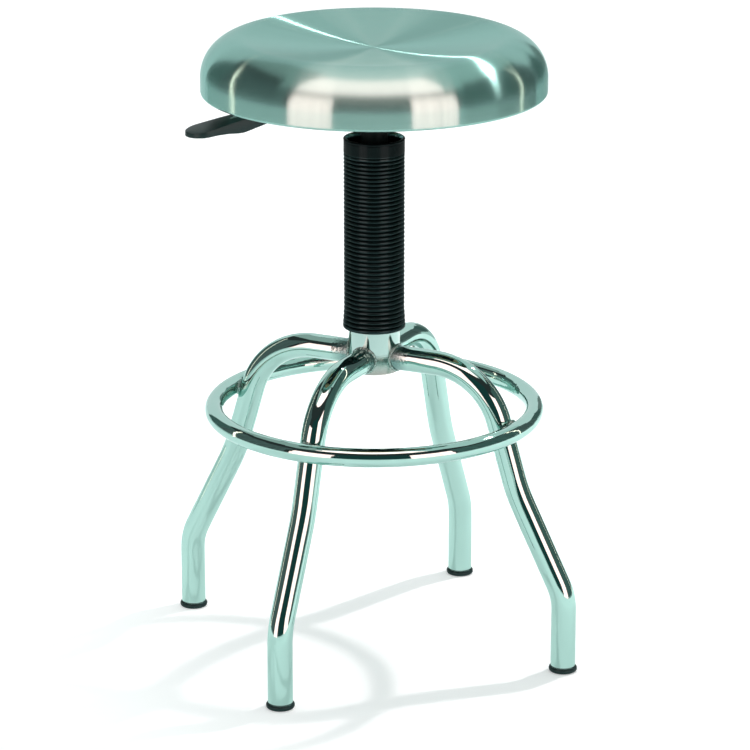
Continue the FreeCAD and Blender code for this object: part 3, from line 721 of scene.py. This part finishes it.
class STOOL_OT_bellows(bpy.types.Operator):
    """Turn the ribbed bellows and give its points their gloss"""

    bl_idname = "stool.bellows"
    bl_label = "Bellows"

    def execute(self, context):
        sizes = context.scene.stool_sizes
        bore = sizes.bellows_bore / 2
        rim = bellows_high.x
        crest = rim - 0.0009
        low, high = bellows_low.z, bellows_high.z + sizes.bellows_rise
        ribs, plain_ribs = 43, 3
        band, mouth = 0.0042, 0.0035
        # The foot is a smooth band on the hub
        section = [(bore, low + 0.0005), (bore + 0.0005, low), (rim - 0.0016, low)]
        section += arc((rim - 0.0012, low + 0.0012), 0.0012, -60, 0, 3)
        section += arc((rim - 0.0016, low + band - 0.0016), 0.0016, 0, 70, 4)
        # The ribs are a tenth wider at the foot and a tenth closer at the top, and end in a plain cuff
        run = high - low - band - mouth
        lower = low + band
        for rib in range(ribs):
            pitch = run / ribs * (1.1 - 0.2 * (rib + 0.5) / ribs)
            flare = (rim - crest) * max(0.0, 1 - rib / 3)
            deep = sizes.rib_depth * max(0.0, min(1.0, 0.35 * (ribs - plain_ribs - rib)))
            for out, up in rib_shape:
                section.append((crest + flare - (1 - out) * deep, lower + up * pitch))
            lower += pitch
        # The mouth is a round lip that slopes inwards
        section += arc((crest - 0.0011, high - 0.0016), 0.0014, -50, 70, 6)
        section += arc((crest - 0.0014, high - 0.0006), 0.0006, 80, 160, 3)
        section += [(bore + 0.0006, high - 0.0016), (bore, high - 0.0030), (bore, high - 0.006), section[0]]
        bellows = turned("bellows_sleeve", section, 96)
        lip_edge = crest - 0.0017
        gloss = bellows.data.attributes.new("gloss", "FLOAT", "POINT")
        for vertex, share in zip(bellows.data.vertices, gloss.data):
            under, out = high - vertex.co.z, math.hypot(vertex.co.x, vertex.co.y)
            if under < lip_depth and out < lip_edge:
                share.value = lip_gloss
            elif under < cuff_depth:
                share.value = cuff_gloss
            else:
                share.value = rib_gloss
        set_piece(bellows, "ribbed_rubber", "bellows_rubber", "rod", "bellows")
        joint = next(joint for joint in frame["joints"] if joint["name"] == "seat_height")
        lowest, highest = joint["range_m"]
        gathered = 1 - (highest - lowest) / (high - low)
        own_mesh(bellows)
        return {"FINISHED"}


class STOOL_OT_seat(bpy.types.Operator):
    """Spin the seat shell with its dish, shoulder and turned-in lip"""

    bl_idname = "stool.seat"
    bl_label = "Seat"

    def execute(self, context):
        sizes = context.scene.stool_sizes
        crown, dish, lip = sizes.seat_crown, sizes.dish_depth, sizes.lip_radius
        radius, top, low = shell_high.x, shell_high.z, shell_low.z
        # The dish is a wide arc that runs into the round shoulder without a kink
        reach, drop = radius - crown, crown - dish
        dish_radius = (reach ** 2 + drop ** 2 - crown ** 2) / (2 * dish)
        middle = top - dish + dish_radius
        lean = math.degrees(math.atan2(reach, middle - (top - crown)))
        section = arc((0, middle), dish_radius, -90, lean - 90, 26)
        section[0] = (0, top - dish)
        section += arc((reach, top - crown), crown, 90 + lean, 0, 28)[1:]
        lip_height = low + lip * math.sin(math.radians(60))
        section += [(radius, top - crown + (lip_height - top + crown) * share) for share in (0.3, 0.6)]
        section += arc((radius - lip, lip_height), lip, 0, -60, 9)
        seat = turned("seat_pan", section, 180)
        apply_modifier(seat, "SOLIDIFY", thickness=sizes.shell_wall, offset=-1.0, use_even_offset=True)
        bpy.ops.object.shade_smooth_by_angle(angle=math.radians(40))
        set_piece(seat, "brushed_seat_steel", "brushed_seat", "seat", "seat_shell")
        return {"FINISHED"}


def between(points, along):
    """The height of a line through points, at a place along it."""
    for here, there in zip(points, points[1:]):
        if along <= there[0]:
            return here[1] + (there[1] - here[1]) * (along - here[0]) / (there[0] - here[0])
    return points[-1][1]


# The paddle's outlines, above and below: share of its length, and depth under its highest point
paddle_upper = ((0, 0), (0.18, 0.0064), (0.37, 0.0120), (0.62, 0.0172), (0.80, 0.0212), (1.0, 0.0248))
paddle_lower = ((0, 0.0154), (0.40, 0.0260), (0.46, 0.0264), (0.58, 0.0258), (0.70, 0.0262), (0.85, 0.0278),
                (1.0, 0.0286))


class STOOL_OT_paddle(bpy.types.Operator):
    """Mould the release paddle: a thin tongue that deepens to a keel at its root"""

    bl_idname = "stool.paddle"
    bl_label = "Paddle"

    def execute(self, context):
        sizes = context.scene.stool_sizes
        long, tip, root = sizes.paddle_length, sizes.paddle_width / 2, sizes.paddle_root / 2
        start, crown = 0.103, 0.0008
        nothing_selected()
        bpy.ops.mesh.primitive_grid_add(x_subdivisions=48, y_subdivisions=6, size=2, location=(0, 0, 1),
                                        enter_editmode=True)
        bpy.ops.mesh.select_all(action="SELECT")
        bpy.ops.mesh.extrude_region_move(TRANSFORM_OT_translate={"value": (0, 0, -2)})
        bpy.ops.object.mode_set(mode="OBJECT")
        paddle = settle("release_paddle")
        for vertex in paddle.data.vertices:
            along = math.sin((vertex.co.x + 1) / 4 * math.pi)
            upper = vertex.co.z > 0
            # The tip is half a circle, and the upper side is crowned across
            nose = max(0.0, along * long - (long - tip)) / tip
            wide = root + (tip - root) * min(1.0, along * 1.25)
            wide = wide * math.sqrt(max(0.0, 1 - nose ** 2)) + 0.0004
            rise = crown * (1 - vertex.co.y ** 2) if upper else 0
            drop = between(paddle_upper if upper else paddle_lower, along)
            vertex.co = (start + along * long, vertex.co.y * wide, paddle_top - drop + rise - crown)
        apply_modifier(paddle, "BEVEL", width=sizes.paddle_edge, segments=4, limit_method="ANGLE",
                       angle_limit=math.radians(50))
        finish_mesh(paddle, 50)
        # The lever points between the left and the front leg
        paddle.rotation_euler.z = math.radians((leg_turns["left"] + leg_turns["front"]) / 2)
        settle("release_paddle")
        set_piece(paddle, "moulded_plastic", "black_plastic", "lever", "lever_paddle")
        return {"FINISHED"}


class STOOL_OT_hardware(bpy.types.Operator):
    """Give the carried-over pieces their finishes"""

    bl_idname = "stool.hardware"
    bl_label = "Hardware"

    def execute(self, context):
        for part in frame["record"]["subparts"]:
            finish = finish_named(slot_finishes[part["material_slot"]])
            for holder in frame["nodes"][part["node"]].material_slots:
                holder.material = finish
        return {"FINISHED"}


# Studio

# The camera that was fitted to the photograph, in degrees, metres and millimetres
camera_bearing = 25.9
camera_distance = 3.770
camera_height = 1.472
camera_pitch = 17.43
camera_swing = 0.0127
camera_lens = 184.25


def bearing(angle):
    """A level direction at an angle to the right of the camera, as seen from it."""
    turn = math.radians(camera_bearing + angle)
    return Vector((math.sin(turn), -math.cos(turn), 0))


def spot(ahead, right, height):
    """A place in metres towards the camera, to its right and over the floor."""
    return bearing(0) * ahead + bearing(90) * right + Vector((0, 0, height))


def glow(name, colour, strength=1.0, stripes=0.0):
    """A glowing material, with faint upright stripes where it has any."""
    finish = Finish(name)
    tone = colour
    if stripes:
        x, y, z = finish.parts(finish.place())
        bars = finish.noise(finish.join(y.math("ARCTAN2", x) * 15.0, 0.0, 0.0), 1.0, 3.0, 0.6)
        tone = finish.mix((1 - bars).ramp(0.40, 0.68) * stripes, colour, darker(colour, 0.2))
    return finish.end(finish.light(tone, strength))


def reflected_only(piece, finish):
    """Paint a stage piece, and show it in reflections and nowhere else."""
    paint(piece, finish)
    piece.visible_camera = False
    piece.visible_diffuse = False
    piece.visible_transmission = False
    piece.visible_volume_scatter = False
    piece.visible_shadow = False


def screen(name, start, end, section, finish, lean=0.0):
    """A screen round the stool between two bearings, seen in reflections only. Its section is points of
    distance and height, and it curves to the right by some degrees at a height of one metre."""
    first = bearing(start)
    trace(name, [(first.x * out, first.y * out, up) for out, up in section])
    steps = max(2, round(abs(end - start) / 4))
    bpy.ops.mesh.spin(steps=steps, angle=math.radians(start - end), center=(0, 0, 0), axis=(0, 0, 1))
    bpy.ops.object.mode_set(mode="OBJECT")
    piece = settle(name)
    for vertex in piece.data.vertices:
        vertex.co.rotate(Euler((0, 0, math.radians(lean * vertex.co.z ** 2))))
    reflected_only(piece, finish)


def panel(name, centre, width, depth, finish):
    """A level screen overhead, square to the camera and seen in reflections only."""
    nothing_selected()
    turn = math.radians(camera_bearing)
    bpy.ops.mesh.primitive_plane_add(size=1.0, location=centre, rotation=(0, 0, turn))
    bpy.context.object.scale = (width, depth, 1)
    reflected_only(settle(name), finish)


def seen_rays(finish):
    """1 for rays from the camera, from reflections and through glass, and 0 for the rest."""
    outputs = finish.node("ShaderNodeLightPath").socket.node.outputs
    camera, glossy, glass = [Value(finish, outputs["Is " + kind + " Ray"])
                             for kind in ("Camera", "Glossy", "Transmission")]
    return (camera + glossy + glass).math("MINIMUM", 1.0)


def floor_finish():
    """A white floor that keeps its shadows and reads white to the camera and in reflections."""
    finish = Finish("studio_floor")
    seen = seen_rays(finish)
    grain = finish.noise(finish.place(), 3.0, 2.0)
    tone = finish.mix(grain, (0.78, 0.785, 0.79), (0.80, 0.80, 0.80))
    lit = finish.node("ShaderNodeBsdfDiffuse", {}, {"Color": tone})
    # The floor glows more outside the stool's shadow
    far = finish.measure("DISTANCE", finish.place(), spot(0.05, 0.10, 0)).ramp(0.17, 0.42)
    light = finish.light((0.99, 1.0, 1.0), seen * (0.30 + far * 0.20))
    return finish.end(finish.node("ShaderNodeAddShader", {}, {0: lit, 1: light}))


def world_light():
    """A world that is white to the camera and in reflections, and a soft fill for the rest."""
    finish = Finish("studio_world", world=True)
    fill = finish.node("ShaderNodeBackground", {}, {"Color": (0.93, 1.0, 0.99), "Strength": 0.75})
    white = finish.node("ShaderNodeBackground", {}, {"Color": (1.0, 1.0, 1.0), "Strength": 1.0})
    bpy.context.scene.world = finish.sheen(seen_rays(finish), fill, white)


def lamp(name, place, aim, width, height, power, colour, mirrored):
    """A soft area lamp that the camera doesn't see. Either it is mirrored and lights nothing, or it lights
    and isn't mirrored."""
    light = bpy.data.lights.new(name, "AREA")
    light.shape = "RECTANGLE"
    light.size = width
    light.size_y = height
    light.energy = power
    light.color = colour
    piece = bpy.data.objects.new(name, light)
    bpy.context.scene.collection.objects.link(piece)
    piece.location = place
    piece.rotation_euler = (Vector(aim) - place).to_track_quat("-Z", "Y").to_euler()
    piece.visible_camera = False
    piece.visible_glossy = mirrored
    piece.visible_diffuse = not mirrored


def hang_screens():
    """Hang the screens, windows and strips that the polished tubes and the seat mirror."""
    dark = glow("dark_screen", (0.042, 0.045, 0.046))
    dim = glow("dim_screen", (0.16, 0.185, 0.185), stripes=0.75)
    dusk = glow("dusk_screen", (0.12, 0.18, 0.17), stripes=0.6)
    window = glow("window_light", (1.0, 0.54, 0.54), 4.4, 0.5)
    ceiling = glow("ceiling_light", (1.0, 0.58, 0.58), 3.9)
    warm = glow("warm_strip_light", (1.0, 0.70, 0.60), 4.5)
    pale = glow("pale_screen", (0.78, 0.86, 0.84))
    shade = glow("shaded_screen", (0.50, 0.54, 0.52))
    grey = glow("grey_screen", (0.26, 0.28, 0.27))
    centre = glow("centre_screen", (0.018, 0.060, 0.058))
    white = glow("white_screen", (1.0, 1.0, 1.0), 1.05)
    # Sections: distance from the stool and height, in metres
    upright = [(5.5, 0.0), (5.5, 5.0)]
    lit = [(1.8, 0.004), (4.6, 0.05), (4.6, 3.1)]
    climb = [(1.8, 0.004)] + [(3.4, 0.05 + 3.0 * step / 12) for step in range(13)]
    ground = [(1.9, 0.002), (5.3, 0.002)]
    overhead = [(0.17, 0.92), (0.49, 0.92)]
    screen("dark_wall", -62, 57, upright, dark)
    screen("dusk_wall", 57, 116, upright, dusk)
    screen("dim_curtain_right", 116, 136, upright, dim)
    screen("dim_wall", -122, -62, upright, dim)
    screen("dark_curtain_left", -143, -122, [(5.5, 0.0), (5.5, 3.9)], dusk)
    screen("window_left", -57, -27, lit, window)
    screen("window_right", 24, 55, lit, window)
    screen("strip_left", -104.4, -102.0, climb, warm, -2.5)
    screen("strip_right", 109.2, 110.8, climb, warm, 1.7)
    screen("dusk_curtain", 136, 152, [(5.5, 0.0), (5.5, 2.3)], dusk)
    screen("grey_curtain", 152, 164, [(5.5, 0.0), (5.5, 1.6)], grey)
    screen("dark_centre", -27.2, 24.2, [(5.4, 0.0), (5.4, 5.0)], centre)
    screen("pale_floor", -140, 60, ground, pale)
    screen("shaded_floor", 60, 87, ground, shade)
    screen("grey_floor", 87, 131, ground, grey)
    screen("pale_floor_right", 131, 164, ground, pale)
    screen("ceiling_light", -52, 46, overhead, ceiling)
    screen("ceiling_end_left", -66, -52, overhead, shade)
    screen("ceiling_end_right", 46, 61, overhead, pale)
    panel("dark_ceiling", spot(0.2, 0, 5.0), 20.0, 11.6, dark)
    panel("pale_ceiling", spot(-2.6, 0, 4.9), 2.4, 6.4, white)
    panel("right_ceiling", spot(-2.6, 2.7, 4.7), 3.0, 6.4, pale)
    panel("left_ceiling", spot(-2.0, -2.1, 4.7), 1.8, 6.0, shade)


class STOOL_OT_stage(bpy.types.Operator):
    """Set up the floor, the screens, the lamps and the camera"""

    bl_idname = "stool.stage"
    bl_label = "Stage"

    def execute(self, context):
        nothing_selected()
        # The floor lies a fifth of a millimetre under the feet
        bpy.ops.mesh.primitive_plane_add(size=60.0, location=(0, 0, -0.0002))
        floor = settle("studio_floor")
        paint(floor, floor_finish())
        hang_screens()
        world_light()
        lamp("key_lamp", bearing(127) * 1.48 + Vector((0, 0, 1.9)), (0, 0, 0.2), 0.08, 0.10, 25.0,
             (1.0, 0.93, 0.94), mirrored=False)
        lamp("glint_lamp", bearing(134) * 3.5 + Vector((0, 0, 4.20)), (0, 0, 0.6), 0.24, 0.24, 92.0,
             (1.0, 0.95, 0.95), mirrored=True)
        lens = bpy.data.cameras.new("stool_camera")
        lens.lens = camera_lens
        lens.sensor_width = 36.0
        lens.clip_end = 100.0
        camera = bpy.data.objects.new("stool_camera", lens)
        context.scene.collection.objects.link(camera)
        camera.location = spot(camera_distance, 0, camera_height)
        turn = math.radians(camera_bearing - camera_swing)
        camera.rotation_euler = (math.radians(90 - camera_pitch), 0, turn)
        context.scene.camera = camera
        context.scene.view_settings.view_transform = "Standard"
        return {"FINISHED"}


class STOOL_PT_panel(bpy.types.Panel):
    """The stool's sizes, colours and steps."""

    bl_idname = "STOOL_PT_panel"
    bl_label = "Work Stool"
    bl_space_type = "VIEW_3D"
    bl_region_type = "UI"
    bl_category = "Stool"

    def draw(self, context):
        layout = self.layout
        for step in steps:
            layout.operator(step.bl_idname)
        for group in (context.scene.stool_sizes, context.scene.stool_colours):
            box = layout.box()
            for name in group.__annotations__:
                box.prop(group, name)


steps = (STOOL_OT_legs, STOOL_OT_foot_ring, STOOL_OT_hub, STOOL_OT_welds, STOOL_OT_foot_caps,
         STOOL_OT_bellows, STOOL_OT_seat, STOOL_OT_paddle, STOOL_OT_hardware, STOOL_OT_stage)
classes = (StoolSizes, StoolColours) + steps + (STOOL_PT_panel,)


def register():
    for item in classes:
        bpy.utils.register_class(item)
    bpy.types.Scene.stool_sizes = bpy.props.PointerProperty(type=StoolSizes)
    bpy.types.Scene.stool_colours = bpy.props.PointerProperty(type=StoolColours)


def unregister():
    del bpy.types.Scene.stool_colours
    del bpy.types.Scene.stool_sizes
    for item in reversed(classes):
        bpy.utils.unregister_class(item)


def main():
    """Build every piece and the stage."""
    register()
    for step in steps:
        group, name = step.bl_idname.split(".")
        getattr(getattr(bpy.ops, group), name)()


if __name__ == "__main__":
    main()
